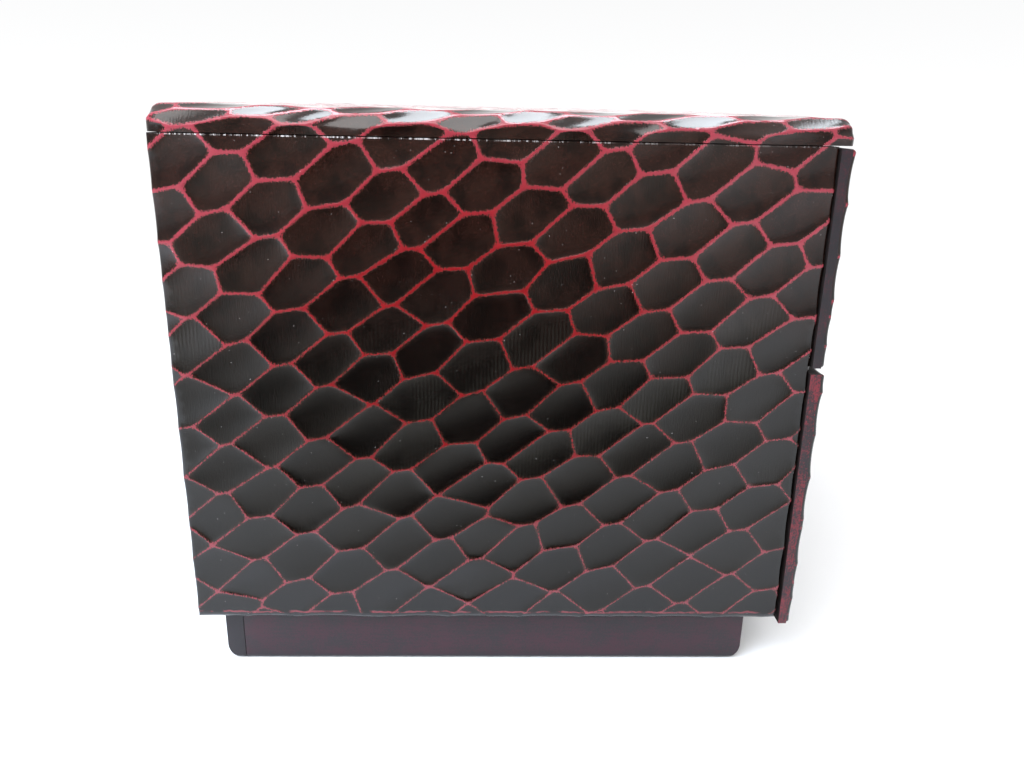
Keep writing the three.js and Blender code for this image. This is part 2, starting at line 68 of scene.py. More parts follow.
# Places read from the solids, in millimetres
def box_mm(node):
    """A solid's lowest and highest corner in millimetres."""
    low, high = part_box(node)
    return Vector(low) / MM, Vector(high) / MM


CASE_LOW, CASE_HIGH = box_mm("left_side")
HALF_WIDTH = box_mm("upper_front")[1].x
REAR = CASE_HIGH.y
SIDE_FRONT = CASE_LOW.y
SIDE_TOP = CASE_HIGH.z
SIDE_FOOT = CASE_LOW.z
TOP_LOW, TOP_HIGH = box_mm("top_board")
TOP_SURFACE = TOP_LOW.z + TOP_THICKNESS


# Settings

def setting(name, description, default, **details):
    kind = FloatProperty if isinstance(default, (int, float)) else FloatVectorProperty
    return kind(name=name, description=description, default=default, **details)


class CarvingSettings(bpy.types.PropertyGroup):
    """The gouge's scoops, in millimetres on the unrolled boards."""

    depth: setting("Scoop depth", "How deep a scoop goes, in mm", 0.9, min=0.1)
    radius: setting("Scoop radius", "Half the width of a scoop, in mm", 10)
    stretch: setting("Scoop stretch", "Length of a scoop against its width", 1.7)
    angle: setting("Stroke angle", "Rise of the strokes", math.radians(25), subtype="ANGLE")
    row_step: setting("Row step", "From one scoop to the next", (13.3, 6.6), size=2)
    column_step: setting("Column step", "From row to row", (-4.8, 16.7), size=2)
    start: setting("First scoop", "Where the pattern starts", (93.9, 69.5), size=2)
    bend: setting("Row bend", "How far the rows sway", (13, 3.6), size=2)
    bend_rows: IntProperty(name="Rows in a bend", description="Rows in one sway", default=28)
    scatter: setting("Scatter", "How far a scoop strays", (2.4, 2.2), size=2)
    crispness: setting("Ridge crispness", "Higher makes sharper ridges", 9)
    lip: setting("Lip", "Extra rise of the ridges, in mm", 0.2)
    tilt: setting("Tilt", "How far a scoop's floor leans", 0.028, subtype="ANGLE")
    lip_width: setting("Lip width", "How far the lip reaches, in mm", 1.1)
    spacing: setting("Mesh spacing", "Points inside a scoop, in mm", 2.3)


class LacquerSettings(bpy.types.PropertyGroup):
    """Colours of the lacquer coats."""

    red: setting("Under coat", "Red that shows along the ridges", (0.185, 0.006, 0.008), subtype="COLOR")
    black: setting("Top coat", "Brown black in the scoops", (0.0016, 0.0013, 0.001), subtype="COLOR")
    warm: setting("Warm mottling", "Where the red glows through", (0.052, 0.0155, 0.0095), subtype="COLOR")
    rub_high: setting("Rubbed width above", "Red by a ridge near the top, in mm", 0.48)
    rub_low: setting("Rubbed width below", "Red by a ridge near the foot, in mm", 0.13)


class StageSettings(bpy.types.PropertyGroup):
    """Floor and light."""

    floor: setting("Floor", "Floor colour", (0.87, 0.875, 0.88), subtype="COLOR")
    key_power: setting("Key light", "Power of the soft window", 4.5, unit="POWER")
    side_power: setting("Side light", "Power of the bluish side light", 4, unit="POWER")
    room: setting("Room light", "Brightness of the pale room at eye level", 0.4)
    far_wall: setting("Far wall", "Extra brightness behind the chest", 1.6)
    lamp_power: setting("Lamp", "Power of the lamp overhead", 26, unit="POWER")
    pool_power: setting("Low lamp", "Power of the low lamp", 6, unit="POWER")
    ceiling: setting("Ceiling", "Brightness of the pale room overhead", 1.4)


# Finishes

FINISHES = {}


def made_once(build):
    """Lets pieces share a finish: it is made the first time that a piece asks for its name."""

    @functools.wraps(build)
    def ask(name, *inputs):
        if name not in FINISHES:
            FINISHES[name] = build(name, *inputs)
        return FINISHES[name]

    return ask


def dimmed(colour, share):
    return tuple(share * part for part in colour)


class Recipe:
    """The nodes of one material, or of the room's light, added one at a time."""

    def __init__(self, name, kind="Material"):
        self.owner = (bpy.data.worlds if kind == "World" else bpy.data.materials).new(name)
        self.owner.use_nodes = True
        self.tree = self.owner.node_tree
        self.tree.nodes.clear()
        self.output = self.node(f"ShaderNodeOutput{kind}")

    def node(self, kind, inputs=None, **settings):
        made = self.tree.nodes.new(kind)
        for key, value in settings.items():
            setattr(made, key, value)
        for key, value in (inputs or {}).items():
            if isinstance(value, bpy.types.NodeSocket):
                self.tree.links.new(value, made.inputs[key])
            else:
                made.inputs[key].default_value = value
        return made

    def attribute(self, name, output="Fac"):
        return self.node("ShaderNodeAttribute", attribute_name=name).outputs[output]

    def place(self):
        return self.node("ShaderNodeTexCoord").outputs["Object"]

    def place_mm(self):
        return self.scaled(self.place(), (1 / MM, 1 / MM, 1 / MM))

    def parts(self, vector):
        return self.node("ShaderNodeSeparateXYZ", {0: vector}).outputs

    def scaled(self, vector, scale):
        return self.node("ShaderNodeVectorMath", {0: vector, 1: scale}, operation="MULTIPLY").outputs[0]

    def math(self, operation, a, b=0.0):
        return self.node("ShaderNodeMath", {0: a, 1: b}, operation=operation).outputs[0]

    def times(self, a, b):
        return self.math("MULTIPLY", a, b)

    def plus(self, a, b):
        return self.math("ADD", a, b)

    def minus(self, a, b):
        return self.math("SUBTRACT", a, b)

    def larger(self, a, b):
        return self.math("MAXIMUM", a, b)

    def away_from_middle(self, *offsets):
        """Distance from the middle of an oval, 1 on its rim. Each offset is a place, its middle and its half width."""
        shares = [self.math("DIVIDE", self.minus(place, middle), half) for place, middle, half in offsets]
        return self.math("SQRT", self.plus(*(self.math("POWER", share, 2.0) for share in shares)))

    def noise(self, vector, scale, detail, roughness=0.5):
        inputs = {"Vector": vector, "Scale": scale, "Detail": detail, "Roughness": roughness}
        return self.node("ShaderNodeTexNoise", inputs).outputs["Fac"]

    def step(self, value, low, high, to_low=0.0, to_high=1.0):
        """Goes smoothly from to_low to to_high as value goes from low to high."""
        inputs = {0: value, 1: low, 2: high, 3: to_low, 4: to_high}
        return self.node("ShaderNodeMapRange", inputs, interpolation_type="SMOOTHSTEP").outputs[0]

    def mix(self, share, first, second):
        ends = [value if isinstance(value, bpy.types.NodeSocket) else (*value, 1) for value in (first, second)]
        return self.node("ShaderNodeMix", {0: share, 6: ends[0], 7: ends[1]}, data_type="RGBA").outputs[2]

    def bump(self, height, distance, normal=None):
        """Relief of the given depth in millimetres."""
        inputs = {"Height": height, "Distance": distance * MM}
        if normal:
            inputs["Normal"] = normal
        return self.node("ShaderNodeBump", inputs).outputs["Normal"]

    def coat(self, colour, roughness, normal, **uniform):
        inputs = {"Base Color": colour, "Roughness": roughness, "Normal": normal, **uniform}
        return self.node("ShaderNodeBsdfPrincipled", inputs).outputs[0]

    def blend(self, share, first, second):
        return self.node("ShaderNodeMixShader", {0: share, 1: first, 2: second}).outputs[0]

    def glow(self, colour, strength):
        return self.node("ShaderNodeBackground", {"Color": (*colour, 1), "Strength": strength}).outputs[0]

    def show(self, shader):
        self.tree.links.new(shader, self.output.inputs[0])
        return self.owner

    def finish(self, colour, roughness, normal, **uniform):
        return self.show(self.coat(colour, roughness, normal, **uniform))


@made_once
def carved_lacquer(name):
    """Black lacquer over red, cut with the gouge and rubbed back until the ridges show red."""
    coats = bpy.context.scene.chest_lacquer
    mix = Recipe(name)
    board = mix.attribute("board", "Vector")
    ridge = mix.attribute("ridge")
    cell = mix.attribute("cell")
    _, depthways, height = mix.parts(mix.place_mm())

    def marks(along, across, detail, roughness):
        """Noise on the unrolled boards."""
        return mix.noise(mix.scaled(board, (along, across, 1)), 1.0, detail, roughness)

    streaks = marks(0.3, 2.4, 3, 0.6)
    teeth = marks(1.3, 2.4, 2, 0.7)
    sway = mix.noise(board, 0.35, 2)
    clouds = marks(0.09, 0.12, 3, 0.6)
    grit = marks(1.3, 4.2, 3, 0.75)
    hairs = marks(0.4, 3.4, 2, 0.7)
    ripple = mix.node(
        "ShaderNodeTexWave",
        {"Vector": board, "Scale": 0.27, "Distortion": 2.2, "Detail": 2.0, "Detail Scale": 0.5},
        bands_direction="Y",
    ).outputs["Fac"]
    chatter = mix.times(mix.step(cell, 0.62, 0.85), mix.step(clouds, 0.38, 0.56, 0.2, 1.0))
    midway = mix.times(mix.step(height, 55, 85), mix.step(height, 145, 120))
    ripple = mix.times(ripple, mix.times(chatter, mix.step(midway, 0.0, 1.0, 0.2, 1.0)))

    # Red shows where the distance to the ridge, made uneven, is less than the rubbed width
    uneven = mix.step(teeth, 0.34, 0.66, -0.28, 0.28)
    uneven = mix.plus(uneven, mix.times(mix.minus(sway, 0.5), 0.7))
    width = mix.step(height, 90, 170, coats.rub_low, coats.rub_high)
    past = mix.minus(mix.plus(ridge, uneven), width)
    red = mix.step(past, 0.12, -0.12)
    glow = mix.step(past, 1.0, 0.0, 0.0, 0.6)

    # Red glows through the black in the scoops, more so higher up
    mottled = mix.times(mix.step(grit, 0.3, 0.75, 0.05, 0.5), mix.step(clouds, 0.36, 0.6, 0.3, 1.0))
    mottled = mix.times(mottled, mix.step(height, 100, 175, 0.06, 1.0))
    warmth = mix.larger(mottled, mix.times(glow, mix.step(streaks, 0.35, 0.6)))
    shade = mix.mix(cell, dimmed(coats.black, 0.6), dimmed(coats.black, 1.5))
    facet = mix.mix(warmth, shade, coats.warm)
    flecks = marks(1.7, 2.9, 2, 0.6)
    flecks = mix.times(mix.step(flecks, 0.6, 0.72), mix.step(height, 90, 150, 0.1, 0.4))
    facet = mix.mix(flecks, facet, (0.075, 0.012, 0.01))
    scratched = mix.times(mix.step(hairs, 0.5, 0.68), mix.step(clouds, 0.42, 0.6, 0.2, 1.0))
    scratched = mix.larger(mix.times(scratched, 0.25), mix.times(ripple, 0.4))
    facet = mix.mix(scratched, facet, (0.015, 0.0145, 0.0115))
    red_and_painted_light = mix.mix(mix.step(sway, 0.35, 0.65), dimmed(coats.red, 0.8), coats.red)
    # Lower down the red is painted darker: painted shade for the weaker light that falls there
    red_and_painted_light = mix.mix(mix.step(height, 150, 80, 0.0, 0.5), red_and_painted_light, dimmed(coats.red, 0.6))

    # Towards the edges of the boards the red is painted paler: painted light and a painted pale reflection, brighter
    # than in the middle
    out = mix.away_from_middle((depthways, 15, 105), (height, 115, 85))
    pale = mix.mix(mix.step(height, 150, 60), (0.22, 0.028, 0.04), (0.175, 0.03, 0.04))
    red_and_painted_light = mix.mix(mix.step(out, 0.3, 1.1), red_and_painted_light, pale)
    lacquer = mix.mix(red, facet, red_and_painted_light)

    # The foot is rubbed plain, with a thin red line above it
    foot = SIDE_FOOT + FOOT_EASE
    low = mix.plus(height, mix.times(mix.minus(sway, 0.5), 1.6))
    line = mix.times(mix.step(low, foot - 0.1, foot + 0.25), mix.step(low, foot + 0.9, foot + 0.5))
    line = mix.times(line, mix.step(mix.plus(clouds, mix.times(grit, 0.4)), 0.62, 0.74, 0.0, 0.7))
    lacquer = mix.mix(line, lacquer, (0.2, 0.04, 0.05))
    lacquer = mix.mix(mix.step(height, foot + 0.1, foot - 0.2), lacquer, (0.014, 0.013, 0.014))

    # Chips along the seam under the top, partly a painted highlight of the seam's edge, then dust and specks
    seam = mix.step(mix.math("ABSOLUTE", mix.minus(height, SIDE_TOP - 0.15)), 0.32, 0.2)
    chips_and_painted_glint = marks(0.01, 1.1, 4, 0.85)
    chips_and_painted_glint = mix.times(seam, mix.step(mix.plus(chips_and_painted_glint, mix.times(clouds, 0.6)), 0.8, 0.9))
    specks = mix.node(
        "ShaderNodeTexVoronoi", {"Vector": mix.scaled(board, (0.5, 0.62, 1)), "Scale": 1.0, "Randomness": 1.0}
    )
    lot = mix.node("ShaderNodeSeparateColor", {0: specks.outputs["Color"]})
    chosen = mix.math("GREATER_THAN", lot.outputs[0], mix.step(clouds, 0.4, 0.6, 0.93, 0.6))
    dot = mix.times(chosen, mix.step(specks.outputs["Distance"], 0.085, 0.035))
    dot = mix.times(dot, mix.step(lot.outputs[1], 0.0, 1.0, 0.06, 0.5))
    chips_and_painted_glint = mix.times(chips_and_painted_glint, mix.step(depthways, -50, 40, 0.15, 0.7))
    dust_and_painted_glint = mix.larger(dot, chips_and_painted_glint)
    colour = mix.mix(dust_and_painted_glint, lacquer, (0.62, 0.58, 0.56))

    relief = mix.plus(mix.times(streaks, 1.2), mix.times(ripple, 0.42))
    grain = mix.bump(relief, 0.02)
    peel = mix.bump(mix.noise(board, 1.6, 2), 0.012, grain)
    coat_edge = mix.bump(red, 0.02, peel)
    roughness = mix.step(grit, 0.35, 0.65, 0.08, 0.16)
    return mix.finish(colour, roughness, coat_edge, IOR=1.46)


@made_once
def rubbed_lacquer(name, red_share, grain, contrast=1.0, worn=0.3, dark_edges=None):
    """Plain lacquer over red, worn back to a fine mottle. grain is the axis that the wood runs along.

    worn is how much of the red's strength is left, and dark_edges names an axis and the two places on it near which
    the red is mostly taken out, so that the colour stays dark there.
    """
    coats = bpy.context.scene.chest_lacquer
    mix = Recipe(name)
    place = mix.place_mm()
    along = mix.scaled(place, tuple(0.12 if axis == grain else 2.2 for axis in "XYZ"))
    streaks = mix.noise(along, 1.0, 4, 0.65)
    mottle = mix.noise(place, 1.7, 4, 0.75)
    clouds = mix.noise(place, 0.11, 2)
    share = mix.plus(mix.times(mottle, 0.7), mix.times(streaks, 0.3))
    share = mix.plus(share, mix.times(mix.minus(clouds, 0.5), 0.3))
    middle = 0.62 - 0.2 * red_share
    red = mix.step(share, middle - 0.13 / contrast, middle + 0.13 / contrast)
    if dark_edges:
        axis, low, high = dark_edges
        along = mix.parts(place)[axis]
        inside = mix.times(mix.step(along, low + 0.8, low + 2.6), mix.step(along, high, high - 3))
        red = mix.times(red, mix.step(inside, 0.0, 1.0, 0.1, 1.0))
    # The bluish tint added to both colours is a painted reflection of the pale room
    violet = tuple(worn * part + painted_veil for part, painted_veil in zip(coats.red, (0.006, 0.005, 0.012)))
    dark = tuple(2 * part + painted_veil for part, painted_veil in zip(coats.black, (0.006, 0.005, 0.008)))
    colour = mix.mix(red, dark, violet)
    normal = mix.bump(streaks, 0.02, mix.bump(mottle, 0.012))
    return mix.finish(colour, mix.step(mottle, 0.2, 0.8, 0.32, 0.45), normal, IOR=1.46)


@made_once
def black_lacquer(name, grain, matt=0.0):
    """Satin black lacquer with the wood's grain just showing. matt makes it duller."""
    mix = Recipe(name)
    place = mix.place_mm()
    along = mix.scaled(place, tuple(0.06 if axis == grain else 0.9 for axis in "XYZ"))
    streaks = mix.noise(along, 1.0, 4, 0.6)
    clouds = mix.noise(place, 0.05, 3)
    shade = mix.mix(mix.step(clouds, 0.3, 0.7), (0.01, 0.0075, 0.007), (0.014, 0.01, 0.0095))
    colour = mix.mix(mix.times(mix.step(streaks, 0.5, 0.75), 0.6), shade, (0.035, 0.014, 0.012))
    roughness = mix.step(clouds, 0.3, 0.7, 0.34 + matt, 0.39 + matt)
    return mix.finish(colour, roughness, mix.bump(streaks, 0.06), IOR=1.5 - 0.5 * matt)


@made_once
def bare_softwood(name):
    """Unfinished wood of the glue blocks."""
    mix = Recipe(name)
    place = mix.place_mm()
    rings = mix.node(
        "ShaderNodeTexWave",
        {"Vector": mix.scaled(place, (1, 1, 0.12)), "Scale": 0.22, "Distortion": 2.5, "Detail": 2.0},
        bands_direction="X",
    ).outputs["Fac"]
    pores = mix.noise(mix.scaled(place, (2, 2, 0.2)), 1.0, 3, 0.6)
    colour = mix.mix(rings, (0.5, 0.31, 0.16), (0.36, 0.2, 0.095))
    colour = mix.mix(mix.times(mix.step(pores, 0.55, 0.75), 0.5), colour, (0.24, 0.13, 0.06))
    return mix.finish(colour, mix.step(pores, 0.3, 0.7, 0.6, 0.75), mix.bump(pores, 0.05), IOR=1.45)


@made_once
def dark_bronze(name):
    """Copper alloy that has gone brown, rubbed brighter by fingers."""
    mix = Recipe(name)
    place = mix.place_mm()
    clouds = mix.noise(place, 0.5, 4, 0.6)
    pits = mix.noise(place, 5.0, 2)
    colour = mix.mix(mix.step(clouds, 0.35, 0.7), (0.07, 0.045, 0.028), (0.26, 0.16, 0.085))
    roughness = mix.step(clouds, 0.3, 0.7, 0.5, 0.3)
    return mix.finish(colour, roughness, mix.bump(pits, 0.03), Metallic=0.9)


# Carving

CHUNK = 3000


class Carving:
    """The scoops of one sheet of boards: how deep each point is cut and how far it lies from a ridge."""

    def __init__(self, region, seed, uncut=(), stretch_at=None):
        s = self.settings = bpy.context.scene.chest_carving
        self.region = region
        self.uncut = uncut
        self.stretch_at = stretch_at or (lambda v: np.ones_like(v))
        long_axis = Vector((math.cos(s.angle), -math.sin(s.angle)))
        short_axis = Vector((math.sin(s.angle), math.cos(s.angle)))
        self.squeeze = np.array([long_axis / s.stretch, short_axis]).T
        self.centres = np.array(self.lattice(seed))
        self.metric = self.centres @ self.squeeze
        apart = self.metric[:, None] - self.metric[None]
        self.gaps = np.linalg.norm(apart, axis=2)
        np.fill_diagonal(self.gaps, np.inf)
        self.normals = apart @ self.squeeze.T

        # Each scoop has its own tint and tilt, spread evenly but in no order
        numbers = np.arange(len(self.centres))
        self.tints = np.mod(numbers * 0.6180339887 + seed * 0.37, 1.0)
        turns = 2 * math.pi * np.mod(numbers * 0.7548776662, 1.0)
        steep = s.tilt * np.mod(numbers * 0.5698402910, 1.0)
        self.tilts = np.stack([steep * np.cos(turns), steep * np.sin(turns)], axis=1)

    @staticmethod
    def stray(i, j, seed):
        """A settled number between -1 and 1 that looks random."""
        wild = math.sin(i * 12.9898 + j * 78.233 + seed * 37.719) * 43758.5453
        return 2 * (wild - math.floor(wild)) - 1

    def lattice(self, seed):
        """Centres of the scoops, a little way past the region on all sides."""
        u0, u1, v0, v1 = self.region
        s = self.settings
        margin = 2 * s.radius * s.stretch
        slope = (s.row_step[1] / s.row_step[0]) * (u1 - u0 + 2 * margin)
        centres = []
        first_row = math.floor((v0 - s.start[1] - slope - margin) / s.column_step[1])
        last_row = math.ceil((v1 - s.start[1] + slope + margin) / s.column_step[1])
        for j in range(first_row, last_row + 1):
            bend = 1 - math.cos(2 * math.pi * j / s.bend_rows)
            row_u = s.start[0] + s.column_step[0] * j + s.bend[0] * bend
            row_v = s.start[1] + s.column_step[1] * j + s.bend[1] * bend
            first = math.floor((u0 - margin - row_u) / s.row_step[0])
            last = math.ceil((u1 + margin - row_u) / s.row_step[0])
            for i in range(first, last + 1):
                stray = self.stray(i, j, seed) + self.stray(i + 1, j, seed)
                u = row_u + s.row_step[0] * i + s.scatter[0] * stray
                v = row_v + s.row_step[1] * i + s.scatter[1] * self.stray(j, i, seed + 5)
                if v0 - margin < v < v1 + margin:
                    centres.append((u, v))
        return centres

    def cells(self):
        """Outline of each scoop inside the region."""
        u0, u1, v0, v1 = self.region
        whole = [np.array(corner, float) for corner in ((u0, v0), (u1, v0), (u1, v1), (u0, v1))]
        reach = 4 * self.settings.radius
        outlines = []
        for index, centre in enumerate(self.centres):
            outline = whole
            for other in np.nonzero(self.gaps[index] < reach)[0]:
                normal = self.squeeze @ (self.metric[other] - self.metric[index])
                offset = normal @ (centre + self.centres[other]) / 2
                outline = clipped(outline, normal, offset)
                if len(outline) < 3:
                    break
            if len(outline) > 2:
                outlines.append(outline)
        return outlines

    def around(self, points):
        """For each point its squared reach to every scoop, the nearest scoop and how far off each border is."""
        here = points @ self.squeeze
        square = ((here[:, None] - self.metric[None]) ** 2).sum(axis=2)
        nearest = square.argmin(axis=1)
        rows = np.arange(len(points))
        normals = self.normals[nearest]
        slopes = np.hypot(normals[:, :, 0], normals[:, :, 1] * self.stretch_at(points[:, 1])[:, None])
        away = (square - square[rows, nearest][:, None]) / (2 * slopes + 1e-9)
        away[rows, nearest] = 1e3
        return square, nearest, away

    def measure(self, points):
        """Cut depth, distance to the nearest ridge and scoop number at each point."""
        s = self.settings
        depth, ridge, owner, lean = [], [], [], []
        for chunk in np.array_split(points, max(1, len(points) // CHUNK)):
            square, nearest, away = self.around(chunk)
            cuts = s.depth * (1 - square / s.radius**2)
            depth.append(np.log1p(np.exp(np.clip(s.crispness * cuts, -50, 50)).sum(axis=1)) / s.crispness)
            rim = 1.3 * (1.06 * s.radius - np.sqrt(square.min(axis=1)))
            blend = 2.4
            total = np.exp(-blend * np.clip(away, 0, 30)).sum(axis=1) + np.exp(-blend * np.clip(rim, -5, 30))
            ridge.append(-np.log(total) / blend)
            owner.append(nearest)
            lean.append(((chunk - self.centres[nearest]) * self.tilts[nearest]).sum(axis=1))
        ridge = np.concatenate(ridge)
        inside = 1 - np.exp(-np.clip(ridge, 0, None) / s.lip_width)
        depth = np.concatenate(depth) + inside * (s.lip + np.concatenate(lean))
        for centre, radius, margin in self.uncut:
            gap = np.linalg.norm(points - centre, axis=1) - radius
            share = np.clip(gap / margin, 0, 1)
            depth *= share * share * (3 - 2 * share)
            ridge = np.minimum(ridge, gap - 0.5 * margin)
        return depth, ridge, np.concatenate(owner)


def clipped(outline, normal, offset):
    """The part of an outline on one side of a line."""
    kept = []
    for point, following in zip(outline, outline[1:] + outline[:1]):
        here = normal @ point - offset
        there = normal @ following - offset
        if here <= 0:
            kept.append(point)
        if here * there < 0:
            kept.append(point + (following - point) * (here / (here - there)))
    return kept


FREE_ROOM = 1.9
BESIDE_RIDGE = (0.25, 0.7, 1.4)


def face_points(carving, lines_u, lines_v):
    """Points and lines of the unrolled face: on the ridges, beside them, inside the scoops and on the edge lines."""
    u0, u1, v0, v1 = carving.region
    lines_u, lines_v = (u0, *lines_u, u1), (v0, *lines_v, v1)
    spacing = carving.settings.spacing
    edges, places = [], {}

    def add(point):
        key = (round(float(point[0]), 3), round(float(point[1]), 3))
        return places.setdefault(key, len(places))

    def run(start, end):
        start, end = (np.array(point) for point in sorted((tuple(start), tuple(end))))
        count = max(1, math.ceil(np.linalg.norm(end - start) / (0.75 * spacing)))
        row = [start + (end - start) * k / count for k in range(count + 1)]
        numbers = [add(point) for point in row]
        edges.extend(pair for pair in zip(numbers, numbers[1:]) if pair[0] != pair[1])
        return row

    beside = []
    drawn = set()
    for outline in carving.cells():
        for start, end in zip(outline, outline[1:] + outline[:1]):
            key = tuple(sorted((tuple(np.round(start, 2)), tuple(np.round(end, 2)))))
            length = np.linalg.norm(end - start)
            on_border = any(
                abs(start[axis] - line) + abs(end[axis] - line) < 1e-6
                for line, axis in zip(carving.region, (0, 0, 1, 1))
            )
            if key in drawn or length < 0.02 or on_border:
                continue
            drawn.add(key)
            row = run(start, end)
            normal = np.array([start[1] - end[1], end[0] - start[0]]) / length
            for offset in BESIDE_RIDGE:
                beside += [(*(point + side * offset * normal), 0.7 * offset) for point in row for side in (-1, 1)]
    for u in lines_u:
        run((u, v0), (u, v1))
    for v in lines_v:
        run((u0, v), (u1, v))

    # Fill the scoops, clear of every line
    grid_u, grid_v = np.meshgrid(np.arange(u0, u1, spacing), np.arange(v0, v1, spacing * 0.87))
    grid_u = grid_u + spacing / 2 * (np.arange(grid_u.shape[0]) % 2)[:, None]
    inside = np.stack([grid_u.ravel(), grid_v.ravel(), np.full(grid_u.size, FREE_ROOM)], axis=1)
    loose, room = np.split(np.concatenate([beside, inside]), [2], axis=1)
    clear = np.ones(len(loose), bool)
    for part in np.array_split(np.arange(len(loose)), max(1, len(loose) // CHUNK)):
        clear[part] = carving.around(loose[part])[2].min(axis=1) > room[part, 0]
    for values, lines in zip(loose.T, (lines_u, lines_v)):
        clear &= (np.abs(values[:, None] - lines) > 0.3).all(axis=1) & (values > lines[0]) & (values < lines[-1])
    for point in loose[clear]:
        add(point)
    return list(places), edges


def rounded(distance, radius):
    """How far a rounded edge falls away at a distance from it."""
    inside = np.clip(radius - distance, 0, radius)
    return radius - np.sqrt(radius**2 - inside**2)


def rounding_lines(edge, radius, sign):
    """Where an extra row of points helps a rounded edge to look round."""
    return [edge + sign * radius * (1 - math.cos(math.pi / 8 * step)) for step in (1, 2, 3, 4)]


def both_ends(start, end, radius):
    return rounding_lines(start, radius, 1) + rounding_lines(end, radius, -1)


def carved_piece(name, node, carving, lines_u, lines_v, edge_depth, place, board, closing, finishes):
    """A board whose outer face is carved. place puts unrolled points in space and closing adds the flat faces."""
    points, edges = face_points(carving, lines_u, lines_v)
    flat, _, triangles, *_ = delaunay_2d_cdt([Vector(point) for point in points], edges, [], 0, 1e-5)
    flat = np.array([tuple(point) for point in flat])
    cut, ridge, owner = carving.measure(flat)
    depth = cut + edge_depth(flat[:, 0], flat[:, 1])
    solid = place(flat[:, 0], flat[:, 1], depth)
    mesh = bmesh.new()
    to_ridge, tint = (mesh.verts.layers.float.new(key) for key in ("ridge", "cell"))
    on_board = mesh.verts.layers.float_vector.new("board")
    grain = board(flat[:, 0], flat[:, 1])
    verts = []
    for index, corner in enumerate(solid):
        vert = mesh.verts.new(corner * MM)
        vert[to_ridge] = ridge[index]
        vert[tint] = carving.tints[owner[index]]
        vert[on_board] = (*grain[index], 0)
        verts.append(vert)
    for triangle in triangles:
        mesh.faces.new([verts[index] for index in triangle]).smooth = True
    border = {}
    for key, axis, value in zip(("u0", "u1", "v0", "v1"), (0, 0, 1, 1), carving.region):
        on_line = np.nonzero(np.abs(flat[:, axis] - value) < 1e-4)[0]
        border[key] = [verts[index] for index in on_line[np.argsort(flat[on_line, 1 - axis])]]
    for corners, inward, finish in closing(mesh, border):
        close_face(mesh, corners, inward, finish)
    bmesh.ops.remove_doubles(mesh, verts=mesh.verts, dist=WELD)
    bmesh.ops.recalc_face_normals(mesh, faces=mesh.faces)
    make_piece(name, mesh, finishes, node)


def flat_faces(mesh, border, corners, inward, crossways):
    """The flat faces of a carved board: its four edges, of which two are cut crossways, then its inner face."""
    first, second, third, fourth = (mesh.verts.new(Vector(corner) * MM) for corner in corners)
    yield [*border["u0"], second, first], inward, 1
    yield [*border["u1"], fourth, third], inward, 1
    yield [*border["v0"], third, first], inward, crossways
    yield [*border["v1"], fourth, second], inward, crossways
    yield [first, third, fourth, second], Vector(), 2


ROW_WIDTH = 0.4


def close_face(mesh, corners, inward, finish):
    """A flat face, with a narrow row along its carved border so that the rounded edge shades into it."""
    faces = []
    if inward.length:
        *edge, last, first = corners
        row = [mesh.verts.new(vert.co + inward * ROW_WIDTH * MM) for vert in edge]
        for k in range(len(row) - 1):
            faces.append(mesh.faces.new([edge[k], edge[k + 1], row[k + 1], row[k]]))
        corners = [*row, last, first]
    for face in (*faces, mesh.faces.new(corners)):
        face.smooth = True
        face.material_index = finish


def make_piece(name, mesh, finishes, *nodes):
    """Turns a bmesh into a piece that stands for its CAD nodes and rides on their body."""
    data = bpy.data.meshes.new(name)
    mesh.to_mesh(data)
    mesh.free()
    data.set_sharp_from_angle(angle=math.radians(38))
    piece = bpy.data.objects.new(name, data)
    bpy.context.scene.collection.objects.link(piece)
    for finish in finishes:
        data.materials.append(finish)
    record = frame["record"]
    body = next(key for key, members in record["behaviour"]["bodies"].items() if nodes[0] in members)
    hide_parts(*nodes)
    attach(piece, body)


# The unrolled boards, in millimetres. u runs from the back to the front. v is 0 at the seam above the left side,
# grows down that side and falls over the top and down the right side.

ARRIS = 6.5
ARRIS_STRETCH = 2.8
BAND = TOP_SURFACE - TOP_LOW.z - ARRIS
ARC = math.pi / 2 * ARRIS * ARRIS_STRETCH
GIRTH = 2 * (BAND + ARC) + 2 * (HALF_WIDTH - ARRIS)
SIDE_DEPTH = REAR - SIDE_FRONT
SIDE_HEIGHT = SIDE_TOP - SIDE_FOOT
TOP_DEPTH = TOP_HIGH.y - TOP_LOW.y
UPRIGHT_EASE = 1.0
FOOT_EASE = 2.5
TOP_END_EASE = 4.2
TOP_FOOT_EASE = 2.0
FRONT_EASE = 1.2
FRONT_THICKNESS = 4.8
SIDE_THICKNESS = 8.0
WRAP_SEED = 6913
FRONT_SEED = 2


def board_finishes():
    carved, edges = carved_lacquer("carved_lacquer"), rubbed_lacquer("edge_lacquer", 0.3, "Z")
    return [carved, edges, black_lacquer("black_lacquer_z", "Z")]


